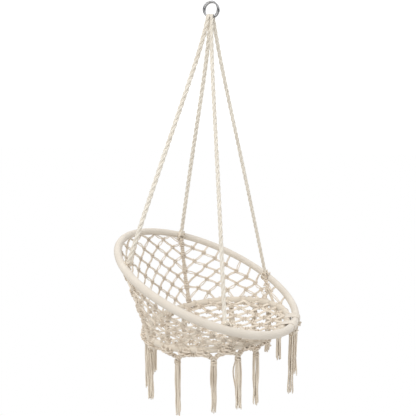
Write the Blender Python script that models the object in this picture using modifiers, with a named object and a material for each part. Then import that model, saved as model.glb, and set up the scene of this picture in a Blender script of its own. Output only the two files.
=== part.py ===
"""Hanging hammock chair of knotted cotton cord, as an assembly of separate pieces.

Two cord-wrapped steel rings carry a net bucket: the large upper ring leans back, and the
smaller seat ring lies under it and touches it at the front. Two ropes, each folded over a
pair of steel hanging rings, come down as four legs to the upper ring. A knotted skirt with
tassels goes round the seat ring.

Frame: +Z up, the sitter faces -Y, +X is the sitter's left. The origin is where a hook bears
inside the top of the right hanging ring. Angles go round a ring from its back (+Y), and
positive angles are on the sitter's left. Metres.
"""

import math

import bmesh
import bpy
from mathutils import Matrix, Vector

MM = 0.001
GAP = 0.3 * MM                      # between pieces that touch

# Hanging rings: two steel rings side by side on the hook
HANGER_OUTER = 64.0 * MM            # outside diameter
HANGER_WIRE = 6.4 * MM
HANGER_SHIFT = (-3.5 * MM, -4.0 * MM)   # left ring against the right one, in Y and Z
SWING_SHIFT = (-0.9 * MM, -1.5 * MM)    # the swing's axis, between the two rings' centres

# Ropes
BACK_ROPE = 17.5 * MM               # rope diameters
FRONT_ROPE = 14.5 * MM
BACK_SIDE = 8.4 * MM                # each folded rope's plane, in Y: they lie side by side
FRONT_SIDE = -7.9 * MM
BEND_THICK = 5.8 * MM               # a rope flattened over the wire
BEND_WIDE = 13.0 * MM
BEND_TOP = 18.0 * MM                # bend centre line, below the hanging ring's centre
BEND_HALF = 12.5 * MM               # half the distance between a rope's two legs there
BEND_SPRING = 30.0 * MM             # where the half ellipse meets its two straight ends
BEND_END = 40.0 * MM                # where the bend ends and the legs begin
LEG_EASE = 2.5 * MM                 # from there to a leg's square-cut top, which slants a little
LEG_STEPS = 12
LEG_GATHER = 0.03                   # how far the four legs hug each other before they spread

# Upper ring
UPPER_RADIUS = 0.400                # to the middle of the tube
UPPER_CENTRE = Vector((0.0, 0.0096, -1.1094))
UPPER_TILT = 23.0                   # degrees, back up
UPPER_TUBE = 25.0 * MM              # steel tube diameter
UPPER_WRAP = 31.0 * MM              # over the cord wrapping
UPPER_STEPS = 48

# Seat ring
SEAT_RADIUS = 0.300
SEAT_CENTRE = Vector((0.0, -0.030, -1.3016))
SEAT_TILT = -6.3                    # degrees, front up
SEAT_TUBE = 19.0 * MM
SEAT_WRAP = 25.0 * MM
SEAT_STEPS = 40
WALL = 1.2 * MM                     # both steel tubes

# Where the ropes are tied to the upper ring, and the knotted columns run down from there
BACK_TIE = 48.5
FRONT_TIE = 119.0
HITCH_LENGTH = 38.0 * MM
HITCH_OUTER = 42.0 * MM
HITCH_SHOULDER = (3.0 * MM, 8.0 * MM)   # height and length of its tapered ends
HITCH_EASE = 2.0 * MM               # the sleeve is straight and the ring in it is curved
TIE_EASE = 1.0 * MM                 # from the knot to the square-cut end of a rope or column
COLUMN = 12.0 * MM

# Nets and skirt
NET = 4.0 * MM
NET_STAND = 2.2 * MM                # from a ring's wrapping to the net's square-cut edge
NET_EASE = 14.0 * MM                # beside each hitch, where the net's cords slope past it
NET_FRONT = 156.0                   # the bucket net ends here, where the two rings meet
SEAT_SAG = 22.0 * MM
NOTCH_DEPTH = 27.0 * MM             # from the middle of the seat ring's tube, at each lashing
SKIRT = 5.0 * MM
SKIRT_ARCH = 9.0 * MM               # drop below the seat ring's wrap between two tassels
SKIRT_DROP = 33.0 * MM              # and at a tassel
SKIRT_STAND = 0.9 * MM              # below the wrapping
SKIRT_END = 150.0                   # degrees; the lashings begin beyond it
SKIRT_STEP = 4.5

# Front lashings, which tie the two rings together
LASHING_AT = 42.0 * MM              # from the centre plane
LASHING_WIDE = 30.0 * MM
LASHING_THICK = 5.0 * MM
LASHING_SLACK = 1.8 * MM            # the seat ring turns in them when it folds up

# Tassels: angle round the seat ring and length below the gather knot
TASSEL_RADIUS = 10.5 * MM
GATHER_RADIUS = 12.5 * MM
FRONT_STAND = 4.0 * MM              # between a lashing and the gather knot under it
BACK_TASSEL = (0.0, 0.185)
SIDE_TASSELS = {                    # hand-made, so the two sides differ a little
    "right": ((22.0, 0.190), (41.0, 0.205), (77.0, 0.205), (105.0, 0.190), (122.5, 0.185), (137.0, 0.190)),
    "left": ((22.0, 0.125), (41.0, 0.150), (86.0, 0.190), (109.0, 0.185), (125.5, 0.175), (140.5, 0.185)),
}
FRONT_TASSELS = {"right": 0.245, "left": 0.200}

COTTON = (0.80, 0.72, 0.60)
COTTON_SHADE = (0.70, 0.60, 0.48)
STEEL = (0.55, 0.55, 0.56)


def clear_scene():
    for obj in list(bpy.data.objects):
        bpy.data.objects.remove(obj, do_unlink=True)


def make_material(name, colour, roughness, metallic=0.0):
    mat = bpy.data.materials.new(name)
    mat.use_nodes = True
    shader = mat.node_tree.nodes["Principled BSDF"]
    shader.inputs["Base Color"].default_value = (*colour, 1.0)
    shader.inputs["Roughness"].default_value = roughness
    shader.inputs["Metallic"].default_value = metallic
    mat.diffuse_color = (*colour, 1.0)
    return mat


class Chair:
    """Collects the pieces, and hangs each on the empty that stands for its moving body."""

    def __init__(self):
        self.collection = bpy.data.collections.new("hanging_chair")
        self.cutters = bpy.data.collections.new("cutters")
        for collection in (self.collection, self.cutters):
            bpy.context.scene.collection.children.link(collection)
        self.axes = {}

    def axis(self, name, place, parent=None):
        empty = bpy.data.objects.new(name, None)
        empty.empty_display_size = 0.05
        self.collection.objects.link(empty)
        self.axes[name] = Vector(place)
        self.hang(empty, parent)
        empty.location = place

    def hang(self, obj, parent):
        """Parent an object whose location is given in world coordinates."""
        if parent:
            obj.parent = bpy.data.objects[parent]
            obj.matrix_parent_inverse = Matrix.Translation(-self.axes[parent])

    def add(self, name, data, mat, parent=None, matrix=None):
        obj = bpy.data.objects.new(name, data)
        data.name = name
        data.materials.clear()
        data.materials.append(mat)
        self.collection.objects.link(obj)
        self.hang(obj, parent)
        if matrix is not None:
            obj.matrix_basis = matrix
        return obj


def smooth(mesh):
    mesh.shade_smooth()
    mesh.set_sharp_from_angle(angle=math.radians(40))


def tilted(centre, tilt):
    """A ring's own frame: turned about X by its tilt, at its centre."""
    return Matrix.Translation(centre) @ Matrix.Rotation(math.radians(tilt), 4, "X")


UPPER_FRAME = tilted(UPPER_CENTRE, UPPER_TILT)
SEAT_FRAME = tilted(SEAT_CENTRE, SEAT_TILT)


def around(radius, degrees, height=0.0):
    a = math.radians(degrees)
    return Vector((radius * math.sin(a), radius * math.cos(a), height))


def upper_point(degrees):
    return UPPER_FRAME @ around(UPPER_RADIUS, degrees)


def seat_point(degrees):
    return SEAT_FRAME @ around(SEAT_RADIUS, degrees)


def upper_tangent(degrees):
    return UPPER_FRAME.to_3x3() @ around(1.0, degrees + 90.0)


def seat_tangent(degrees):
    return SEAT_FRAME.to_3x3() @ around(1.0, degrees + 90.0)


def path_curve(name, points, radius, caps=True, resolution=2):
    """A POLY curve through the points, with a round bevel."""
    curve = bpy.data.curves.new(name, "CURVE")
    curve.dimensions = "3D"
    curve.bevel_depth = radius
    curve.bevel_resolution = resolution
    curve.use_fill_caps = caps
    spline = curve.splines.new("POLY")
    spline.points.add(len(points) - 1)
    for point, place in zip(spline.points, points):
        point.co = (*place, 1.0)
    return curve


def curve_mesh(curve):
    """The curve's evaluated surface as a welded mesh; the curve is removed."""
    holder = bpy.data.objects.new(curve.name, curve)
    bpy.context.scene.collection.objects.link(holder)
    graph = bpy.context.evaluated_depsgraph_get()
    mesh = bpy.data.meshes.new_from_object(holder.evaluated_get(graph))
    bpy.data.objects.remove(holder, do_unlink=True)
    bpy.data.curves.remove(curve)
    bm = bmesh.new()
    bm.from_mesh(mesh)
    bmesh.ops.remove_doubles(bm, verts=bm.verts, dist=0.00001)
    bm.to_mesh(mesh)
    bm.free()
    return mesh


def solidify(obj, thickness, offset=-1.0):
    mod = obj.modifiers.new("thickness", "SOLIDIFY")
    mod.thickness = thickness
    mod.offset = offset
    mod.use_even_offset = True
    return mod


def screw(obj, steps):
    mod = obj.modifiers.new("turn", "SCREW")
    mod.steps = steps
    mod.render_steps = steps
    mod.use_merge_vertices = True
    mod.merge_threshold = 0.00005
    mod.use_normal_calculate = False
    return mod


def profile_mesh(name, points, closed=False):
    """A chain of edges in the XZ plane for a Screw modifier about Z."""
    bm = bmesh.new()
    verts = [bm.verts.new((x, 0.0, z)) for x, z in points]
    for a, b in zip(verts, verts[1:]):
        bm.edges.new((a, b))
    if closed:
        bm.edges.new((verts[-1], verts[0]))
    mesh = bpy.data.meshes.new(name)
    bm.to_mesh(mesh)
    bm.free()
    return mesh


def split_ring(chair, name, ring, outer, wall, mat):
    """A tube bent into a ring whose two ends butt with a fine gap at the back."""
    frame, radius, steps, parent = ring
    slit = math.degrees(GAP / radius)
    turns = [slit + (360.0 - 2.0 * slit) * k / steps for k in range(steps + 1)]
    mesh = curve_mesh(path_curve(name, [around(radius, t) for t in turns], outer / 2.0, caps=False))
    smooth(mesh)
    obj = chair.add(name, mesh, mat, parent, frame)
    solidify(obj, wall)
    return obj


def hanging_rings(chair, steel):
    """Two steel rings in the centre plane, side by side on the hook."""
    middle = (HANGER_OUTER - HANGER_WIRE) / 2.0
    drop = HANGER_OUTER / 2.0 - HANGER_WIRE
    side = HANGER_WIRE / 2.0 + GAP / 2.0
    rings = (("hanging_ring_right", -side, (0.0, 0.0)), ("hanging_ring_left", side, HANGER_SHIFT))
    for name, x, (y, z) in rings:
        bpy.ops.mesh.primitive_torus_add(
            major_radius=middle, minor_radius=HANGER_WIRE / 2.0, major_segments=32, minor_segments=8
        )
        made = bpy.context.active_object
        mesh = made.data
        bpy.data.objects.remove(made, do_unlink=True)
        smooth(mesh)
        place = Matrix.Translation((x, y, z - drop)) @ Matrix.Rotation(math.radians(90), 4, "Y")
        chair.add(name, mesh, steel, None, place)


def hanger_centre():
    return Vector((0.0, 0.0, HANGER_WIRE - HANGER_OUTER / 2.0))


def rope_bend(chair, name, y, mat):
    """The flattened fold of a rope over the two wires: half an ellipse and two straight ends."""
    rise = BEND_SPRING - BEND_TOP
    turns = [math.radians(t) for t in range(-90, 91, 18)]
    arch = [(BEND_HALF * math.sin(t), BEND_SPRING - rise * math.cos(t)) for t in turns]
    line = [(-BEND_HALF, BEND_END), *arch, (BEND_HALF, BEND_END)]
    mesh = curve_mesh(path_curve(name, [Vector((x, 0.0, -down)) for x, down in line], BEND_THICK / 2.0))
    mesh.transform(Matrix.Diagonal((1.0, BEND_WIDE / BEND_THICK, 1.0, 1.0)))
    smooth(mesh)
    chair.add(name, mesh, mat, "swing_axis", Matrix.Translation(hanger_centre() + Vector((0.0, y, 0.0))))


def rope_leg(chair, name, side, y, tie, diameter, mat):
    """A rope from the hanging rings to its tie: close to its neighbours first, then taut."""
    start = hanger_centre() + Vector((side * BEND_HALF, y, -BEND_END - LEG_EASE))
    foot = upper_point(side * tie)
    pull = (start - foot).normalized()
    clear = HITCH_OUTER / 2.0 + TIE_EASE
    end = foot + pull * stand_off(pull, upper_tangent(side * tie), clear, diameter / 2.0)
    points = []
    for k in range(LEG_STEPS + 1):
        t = k / LEG_STEPS
        place = start.lerp(end, t)
        close = LEG_GATHER * 4.0 * t * math.exp(1.0 - 4.0 * t) * (1.0 - t)
        points.append(place + Vector((start.x - end.x, start.y - end.y, 0.0)) * close)
    chair.add(name, path_curve(name, points, diameter / 2.0), mat, "sway_axis")


def hitch(chair, name, angle, mat):
    """The knot that ties a rope round the wrapped ring: a sleeve with rounded shoulders, round the tube."""
    inner = UPPER_WRAP / 2.0 + HITCH_EASE
    outer = HITCH_OUTER / 2.0
    half = HITCH_LENGTH / 2.0
    edge = outer - HITCH_SHOULDER[0]
    flat = half - HITCH_SHOULDER[1]
    profile = [(edge, half), (outer, flat), (outer, -flat), (edge, -half), (inner, -half), (inner, half)]
    obj = chair.add(name, profile_mesh(name, profile, closed=True), mat, "turn_axis")
    turn = upper_tangent(angle).to_track_quat("Z", "Y").to_matrix().to_4x4()
    obj.matrix_basis = Matrix.Translation(upper_point(angle)) @ turn
    screw(obj, 12)


def stand_off(direction, tangent, outer, own):
    """How far from a tube's centre a square-cut rod of radius own ends, to clear the tube."""
    square = direction.cross(tangent).length
    slant = abs(direction.dot(tangent))
    return (outer + own * slant) / square


def net_line(angle, start, end, own=0.0):
    """The straight line from ring to ring at one angle, cut back to clear a radius round each tube."""
    top, low = upper_point(angle), seat_point(angle)
    down = (low - top).normalized()
    first = stand_off(down, upper_tangent(angle), start, own)
    last = stand_off(down, seat_tangent(angle), end, own)
    return top + down * first, low - down * last


def column(chair, name, angle, mat):
    """A knotted column that runs from a hitch down to the seat ring."""
    own = COLUMN / 2.0
    top, low = net_line(angle, HITCH_OUTER / 2.0 + TIE_EASE, SEAT_WRAP / 2.0 + TIE_EASE, own)
    points = [top.lerp(low, k / 4.0) for k in range(5)]
    chair.add(name, path_curve(name, points, COLUMN / 2.0), mat, "turn_axis")


def grid_mesh(name, rows):
    """A sheet through rows of points of equal length."""
    bm = bmesh.new()
    verts = [[bm.verts.new(p) for p in row] for row in rows]
    for above, below in zip(verts, verts[1:]):
        for k in range(len(above) - 1):
            bm.faces.new((above[k], below[k], below[k + 1], above[k + 1]))
    mesh = bpy.data.meshes.new(name)
    bm.to_mesh(mesh)
    bm.free()
    smooth(mesh)
    return mesh


def net_panel(chair, name, side, span, grid, mat):
    """A panel of the bucket net: a ruled sheet from ring to ring over a span of angles."""
    first, last = span
    across, down = grid
    columns = []
    for k in range(across + 1):
        top, low = net_line(side * (first + (last - first) * k / across), UPPER_WRAP / 2.0 + NET_STAND,
                            SEAT_WRAP / 2.0 + NET_STAND)
        columns.append([top.lerp(low, j / down) for j in range(down + 1)])
    rows = [list(row) for row in zip(*columns)]
    obj = chair.add(name, grid_mesh(name, rows), mat, "turn_axis")
    solidify(obj, NET, 0.0)


def notch_cutter(chair, side):
    """A block where a lashing passes through the edge of the seat net."""
    ring = seat_point(side * (180.0 - math.degrees(LASHING_AT / SEAT_RADIUS)))
    bm = bmesh.new()
    bmesh.ops.create_cube(bm, size=1.0)
    bmesh.ops.scale(bm, vec=(LASHING_WIDE + 4.0 * MM, NOTCH_DEPTH * 2.0, 0.1), verts=bm.verts)
    mesh = bpy.data.meshes.new("notch_cutter")
    bm.to_mesh(mesh)
    bm.free()
    obj = bpy.data.objects.new("notch_cutter", mesh)
    obj.location = ring
    obj.hide_render = True
    obj.display_type = "WIRE"
    chair.cutters.objects.link(obj)
    return obj


def seat_net(chair, mat):
    """The net across the seat ring: a shallow dish with a notch at each lashing."""
    rim = SEAT_RADIUS - SEAT_WRAP / 2.0 - NET_STAND - 0.4 * MM
    steps = 5
    profile = []
    for k in range(steps + 1):
        r = rim * k / steps
        profile.append((r, -SEAT_SAG * (1.0 - (r / rim) ** 2)))
    obj = chair.add("seat_net", profile_mesh("seat_net", profile), mat, "fold_axis", SEAT_FRAME)
    screw(obj, 32)
    solidify(obj, NET, 0.0)
    for side in (-1, 1):
        cut = obj.modifiers.new("notch", "BOOLEAN")
        cut.operation = "DIFFERENCE"
        cut.solver = "EXACT"
        cut.object = notch_cutter(chair, side)


def skirt_depth(angle, stops):
    """Depth of the skirt under the seat ring: deep at each tassel, an arch between two."""
    for a, b in zip(stops, stops[1:]):
        if a <= angle <= b:
            arch = max(0.0, math.sin(math.pi * (angle - a) / (b - a))) ** 0.7
            return SKIRT_DROP + (SKIRT_ARCH - SKIRT_DROP) * arch
    return SKIRT_ARCH


def skirt_panel(chair, name, side, first, last, mat):
    """A quarter of the skirt, a band under the seat ring with a scalloped lower edge."""
    word = "left" if side > 0 else "right"
    stops = [BACK_TASSEL[0], *(angle for angle, _ in SIDE_TASSELS[word]), SKIRT_END]
    count = round((last - first) / SKIRT_STEP)
    rows = []
    for share in (0.0, 0.5, 1.0):
        row = []
        for k in range(count + 1):
            angle = first + (last - first) * k / count
            top = SEAT_WRAP / 2.0 + SKIRT_STAND
            row.append(seat_point(side * angle) - Vector((0, 0, top + share * skirt_depth(angle, stops))))
        rows.append(row)
    obj = chair.add(name, grid_mesh(name, rows), mat, "fold_axis")
    solidify(obj, SKIRT, 0.0)


def racetrack(spline, half_length, radius, steps=6):
    """A closed outline of two half circles joined by straight runs, on a POLY spline."""
    points = []
    for sign in (1.0, -1.0):
        for k in range(steps + 1):
            a = math.pi * k / steps - math.pi / 2.0
            points.append((sign * (half_length + radius * math.cos(a)), sign * radius * math.sin(a)))
    spline.points.add(len(points) - 1)
    for point, (x, y) in zip(spline.points, points):
        point.co = (x, y, 0.0, 1.0)
    spline.use_cyclic_u = True


def lashing(chair, name, side, mat):
    """Cord wound round both rings near the front: an oval sleeve with room for the seat ring to turn."""
    angle = 180.0 - math.degrees(LASHING_AT / UPPER_RADIUS)
    seat_angle = 180.0 - math.degrees(LASHING_AT / SEAT_RADIUS)
    front, back = upper_point(side * angle), seat_point(side * seat_angle)
    inner = UPPER_WRAP / 2.0 + LASHING_SLACK
    curve = bpy.data.curves.new(name, "CURVE")
    curve.dimensions = "2D"
    curve.fill_mode = "BOTH"
    curve.extrude = LASHING_WIDE / 2.0
    half = (front - back).length / 2.0
    racetrack(curve.splines.new("POLY"), half, inner + LASHING_THICK)
    racetrack(curve.splines.new("POLY"), half, inner)
    mesh = curve_mesh(curve)
    smooth(mesh)
    across = (front - back).normalized()
    tangent = upper_tangent(side * angle)
    along = (tangent - across * tangent.dot(across)).normalized()
    turn = Matrix((across, along.cross(across), along)).transposed().to_4x4()
    chair.add(name, mesh, mat, "turn_axis", Matrix.Translation((front + back) / 2.0) @ turn)


def tassel(chair, name, top, length, mat, parent):
    """A round gather knot, whose middle is its origin and its hinge, and the cords under it."""
    ball = [math.radians(36.0 * k) for k in range(4)]
    profile = [(GATHER_RADIUS * math.sin(a), GATHER_RADIUS * math.cos(a)) for a in ball]
    waist = -1.1 * GATHER_RADIUS
    profile += [
        (0.62 * GATHER_RADIUS, waist),
        (TASSEL_RADIUS, waist - 0.45 * length),
        (0.75 * TASSEL_RADIUS, waist - length),
        (0.0, waist - length),
    ]
    middle = Matrix.Translation(top - Vector((0, 0, GATHER_RADIUS)))
    obj = chair.add(name, profile_mesh(name, profile), mat, parent, middle)
    screw(obj, 8)


def tassels(chair, mat):
    under = Vector((0, 0, SEAT_WRAP / 2.0 + SKIRT_STAND + SKIRT_DROP + GAP))
    angle, length = BACK_TASSEL
    tassel(chair, "tassel_back", seat_point(angle) - under, length, mat, "fold_axis")
    for word, side in (("right", -1), ("left", 1)):
        for order, (angle, length) in enumerate(SIDE_TASSELS[word], 1):
            tassel(chair, f"tassel_{word}_{order}", seat_point(side * angle) - under, length, mat, "fold_axis")
        front = upper_point(side * (180.0 - math.degrees(LASHING_AT / UPPER_RADIUS)))
        low = UPPER_WRAP / 2.0 + LASHING_SLACK + LASHING_THICK + FRONT_STAND
        top = front - Vector((0, 0, low))
        tassel(chair, f"tassel_front_{word}", top, FRONT_TASSELS[word], mat, "turn_axis")


def build():
    clear_scene()
    chair = Chair()
    cotton = make_material("cotton_cord", COTTON, 0.9)
    shade = make_material("cotton_net", COTTON_SHADE, 0.92)
    wrap = make_material("cotton_wrap", COTTON, 0.85)
    steel = make_material("polished_steel", STEEL, 0.15, 1.0)
    painted = make_material("painted_tube", (0.75, 0.73, 0.70), 0.5, 0.3)

    wire = hanger_centre() - Vector((0, 0, (HANGER_OUTER - HANGER_WIRE) / 2.0))
    chair.axis("swing_axis", hanger_centre() + Vector((0, *SWING_SHIFT)))
    chair.axis("sway_axis", wire, "swing_axis")
    chair.axis("turn_axis", wire, "sway_axis")
    chair.axis("fold_axis", seat_point(180.0), "turn_axis")

    hanging_rings(chair, steel)
    rope_bend(chair, "rope_bend_back", BACK_SIDE, cotton)
    rope_bend(chair, "rope_bend_front", FRONT_SIDE, cotton)
    for word, side in (("right", -1), ("left", 1)):
        rope_leg(chair, f"rope_back_{word}", side, BACK_SIDE, BACK_TIE, BACK_ROPE, cotton)
        rope_leg(chair, f"rope_front_{word}", side, FRONT_SIDE, FRONT_TIE, FRONT_ROPE, cotton)

    upper = (UPPER_FRAME, UPPER_RADIUS, UPPER_STEPS, "turn_axis")
    seat = (SEAT_FRAME, SEAT_RADIUS, SEAT_STEPS, "fold_axis")
    cover = (UPPER_WRAP - UPPER_TUBE) / 2.0 - GAP
    split_ring(chair, "upper_ring_wrap", upper, UPPER_WRAP, cover, wrap)
    split_ring(chair, "upper_ring_tube", upper, UPPER_TUBE, WALL, painted)
    cover = (SEAT_WRAP - SEAT_TUBE) / 2.0 - GAP
    split_ring(chair, "seat_ring_wrap", seat, SEAT_WRAP, cover, wrap)
    split_ring(chair, "seat_ring_tube", seat, SEAT_TUBE, WALL, painted)

    ease = math.degrees((HITCH_LENGTH / 2.0 + NET_EASE) / UPPER_RADIUS)
    for word, side in (("right", -1), ("left", 1)):
        hitch(chair, f"hitch_back_{word}", side * BACK_TIE, cotton)
        hitch(chair, f"hitch_front_{word}", side * FRONT_TIE, cotton)
        column(chair, f"column_back_{word}", side * BACK_TIE, cotton)
        column(chair, f"column_front_{word}", side * FRONT_TIE, cotton)
        middle = math.degrees(GAP / SEAT_RADIUS)
        panels = (
            ("back", middle, BACK_TIE - ease, 5, 5),
            ("side", BACK_TIE + ease, FRONT_TIE - 1.2 * ease, 8, 4),
            ("front", FRONT_TIE + ease, NET_FRONT, 4, 2),
        )
        for place, first, last, across, down in panels:
            net_panel(chair, f"net_{place}_{word}", side, (first, last), (across, down), shade)
        lashing(chair, f"lashing_{word}", side, cotton)
        skirt_panel(chair, f"skirt_back_{word}", side, middle, 90.0 - middle, shade)
        skirt_panel(chair, f"skirt_front_{word}", side, 90.0 + middle, SKIRT_END, shade)
    seat_net(chair, shade)
    tassels(chair, cotton)


build()
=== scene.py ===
import math

import bpy
import numpy as np
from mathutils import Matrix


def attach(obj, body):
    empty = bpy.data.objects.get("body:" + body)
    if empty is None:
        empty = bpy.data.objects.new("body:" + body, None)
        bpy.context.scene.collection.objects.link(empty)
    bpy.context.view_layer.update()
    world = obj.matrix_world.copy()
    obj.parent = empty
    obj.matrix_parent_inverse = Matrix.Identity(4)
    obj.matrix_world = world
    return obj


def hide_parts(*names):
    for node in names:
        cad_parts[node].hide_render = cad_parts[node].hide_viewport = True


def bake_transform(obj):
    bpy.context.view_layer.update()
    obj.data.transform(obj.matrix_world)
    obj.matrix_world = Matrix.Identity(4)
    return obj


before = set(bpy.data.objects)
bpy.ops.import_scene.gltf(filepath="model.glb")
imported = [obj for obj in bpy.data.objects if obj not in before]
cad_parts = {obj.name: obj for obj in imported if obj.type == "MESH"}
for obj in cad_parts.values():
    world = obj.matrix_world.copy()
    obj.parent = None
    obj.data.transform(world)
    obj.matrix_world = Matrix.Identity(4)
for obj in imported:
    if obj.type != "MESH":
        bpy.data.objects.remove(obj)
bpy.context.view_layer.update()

# Looks of the hanging hammock chair: laid ropes, polished rings, two wound rings, knotted nets, a
# scalloped skirt and tassels. Everything is in the CAD's frame: metres, +Z up, the sitter faces -Y
# and +X is the sitter's left. Angles go round a ring in degrees from its back (+Y), and positive
# angles are on the sitter's left. "share" is how far along its way a point lies, from 0 to 1.

RNG = np.random.default_rng(7)
MM = 0.001
TAU = 2.0 * math.pi
SIDES = (("right", -1.0), ("left", 1.0))

# Camera, lights and room
CAMERA_PLACE = (-2.08666, -0.67600, -0.4408)
CAMERA_TURN = -71.77                # degrees round from a look along +Y
CAMERA_DROP = 9.589                 # degrees below level
CAMERA_LENS = 46.517                # mm, on 36 mm
LIT_PLACE = (0.0, 0.0, -1.2)        # the lights point at the bucket
FLOOR_LEVEL = -2.45
FLOOR_HALF = 30.0
ROOM_LIGHT = 1.16
ROOM_BANDS = (                      # height of the look, from straight down to straight up, and colour
    (0.0, (0.66, 0.65, 0.62)), (0.42, (0.66, 0.66, 0.65)), (0.48, (0.08, 0.08, 0.08)),
    (0.57, (0.09, 0.09, 0.09)), (0.66, (0.80, 0.80, 0.80)), (1.0, (1.0, 1.0, 1.0)),
)

# Hanging rings, and the two ropes folded over them
RING_OUTER = 64.0 * MM
RING_WIRE = 6.4 * MM
RING_SHIFT = (-3.5 * MM, -4.0 * MM)                     # the left ring against the right one, in Y and Z
RING_GAP = 0.3 * MM
ROPE_PLANE = {"back": 8.4 * MM, "front": -7.9 * MM}     # Y where each rope crosses the rings
ROPE_WIDE = {"back": 18.3 * MM, "front": 16.0 * MM}
ROPE_TIE = {"back": 48.5, "front": 119.0}               # angle of each tie on the upper ring
ROPE_LAY = {"back": 86.0 * MM, "front": 80.0 * MM}      # length of one turn of the strands
FOOT_IN = {"back": 15.0 * MM, "front": 9.0 * MM}        # a leg's foot from the tube's middle, inwards
FOLD_TOP = 18.0 * MM                                    # the fold's half ellipse, below the rings' middle
FOLD_HALF = 12.5 * MM
FOLD_SPRING = 30.0 * MM
FOLD_END = 40.0 * MM
FOLD_REACH = 0.135                                      # run of rope that counts as the fold, each way
LEG_GATHER = 0.045                                      # how close the legs stay near the fold

# The two wrapped rings
UPPER_RADIUS = 0.400
UPPER_CENTRE = np.array([0.0, 0.0096, -1.1094])
UPPER_TILT = 23.0
UPPER_WRAP = 15.5 * MM
SEAT_RADIUS = 0.300
SEAT_CENTRE = np.array([0.0, -0.030, -1.3016])
SEAT_TILT = -6.3
SEAT_WRAP = 12.5 * MM
WRAP_PITCH = 4.5 * MM               # from turn to turn of the fine cord on both

# Ties, columns and lashings
TIE_CORD = 3.0 * MM
TIE_KNOTS = ((44.0, 1.9), (8.0, 2.1), (-28.0, 1.7))     # angle round the tube's inner side, and size
COLUMN_LEAN = {"back": -2.3, "front": 6.7}              # degrees between a column's top and its foot
COLUMN_FOOT = {"back": 0.97, "front": 0.52}             # the front one forks where it ends
COLUMN_IN = 19.0 * MM                                   # the top's distance inside the net
COLUMN_WIDE = 20.0 * MM
COLUMN_CORD = 3.0 * MM
COLUMN_JOINTS = (0.12, 0.30, 0.52, 0.73, 0.93)          # shares where net strands come in
FORK_FEET = (118.5, 133.0)
LASHING_AT = 42.0 * MM                                  # from the middle of the chair
LASHING_TURNS = 10
LASHING_PITCH = 4.2 * MM
LASHING_CORD = 2.2 * MM
LASHING_KNOTS = (                                       # mm along the ring, angle under it, and size
    (-17.0, 98.0, 1.5), (0.0, 60.0, 1.6), (2.0, 84.0, 1.8),
    (18.0, 100.0, 1.5), (-8.0, 118.0, 1.5), (10.0, 120.0, 1.5),
)

# Nets
CORD = 2.45 * MM                    # radius of the bucket net's cords
BACK_STEP = 6.75                    # degrees from half column to half column of the back net
BACK_ROW = 0.1
BACK_ROWS = 10
SIDE_STEP = 8.6                     # degrees from column to column of the side nets
SIDE_COLUMNS = 7
SIDE_ROWS = 4
LOWEST_KNOT = 0.93                  # below this share a strand goes to the seat ring instead
SEAT_SAG = 22.0 * MM
SEAT_NET_RIM = 0.2845
SEAT_PITCH = (40.0 * MM, 47.0 * MM)
SEAT_CORD = 3.0 * MM

# Skirt and tassels
SKIRT_ARCH = 9.0 * MM               # depth below the seat ring's cover between two tassels
SKIRT_DROP = 33.0 * MM              # and at a tassel
SKIRT_END = 150.0
SKIRT_WIDE = 19.0 * MM
SKIRT_CORD = 3.2 * MM
SKIRT_KNOTS = (-9.2, -5.4, 5.4, 9.2)                    # degrees from each tassel
SKIRT_LOW_FROM = 125.0              # from here on the knots keep clear of the upper ring's cover
GATHER = 12.5 * MM
SIDE_TASSELS = {                    # angle and length of each, from the back
    "right": ((22.0, 0.190), (41.0, 0.205), (77.0, 0.205), (105.0, 0.190), (122.5, 0.185), (137.0, 0.190)),
    "left": ((22.0, 0.125), (41.0, 0.150), (86.0, 0.190), (109.0, 0.185), (125.5, 0.175), (140.5, 0.185)),
}
BACK_TASSEL = (0.0, 0.185)
FRONT_TASSELS = {"right": 0.245, "left": 0.200}
TASSEL_CORDS = 10
TASSEL_CORD = 2.6 * MM
TASSEL_HEAD = 7.0 * MM              # the cords start this far above the middle of the gather


# ---------------------------------------------------------------- camera, lights and floor

def look_from(place, azimuth, pitch, lens):
    """Camera at a place, turned to an azimuth and tipped down by a pitch, both in degrees."""
    data = bpy.data.cameras.new("camera")
    data.lens = lens
    data.sensor_width = 36.0
    camera = bpy.data.objects.new("camera", data)
    bpy.context.scene.collection.objects.link(camera)
    camera.location = place
    camera.rotation_euler = (math.radians(90.0 - pitch), 0.0, math.radians(azimuth))
    bpy.context.scene.camera = camera


def area_light(name, place, size, power, colour):
    """A round soft light that points at the bucket."""
    data = bpy.data.lights.new(name, "AREA")
    data.shape = "DISK"
    data.size = size
    data.energy = power
    data.color = colour
    light = bpy.data.objects.new(name, data)
    bpy.context.scene.collection.objects.link(light)
    light.location = place
    aim = np.array(LIT_PLACE) - np.array(place)
    tip = math.acos(-aim[2] / np.linalg.norm(aim))
    light.rotation_euler = (tip, 0.0, math.atan2(aim[1], aim[0]) - math.pi / 2.0)


# ---------------------------------------------------------------- shader maths

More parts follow.
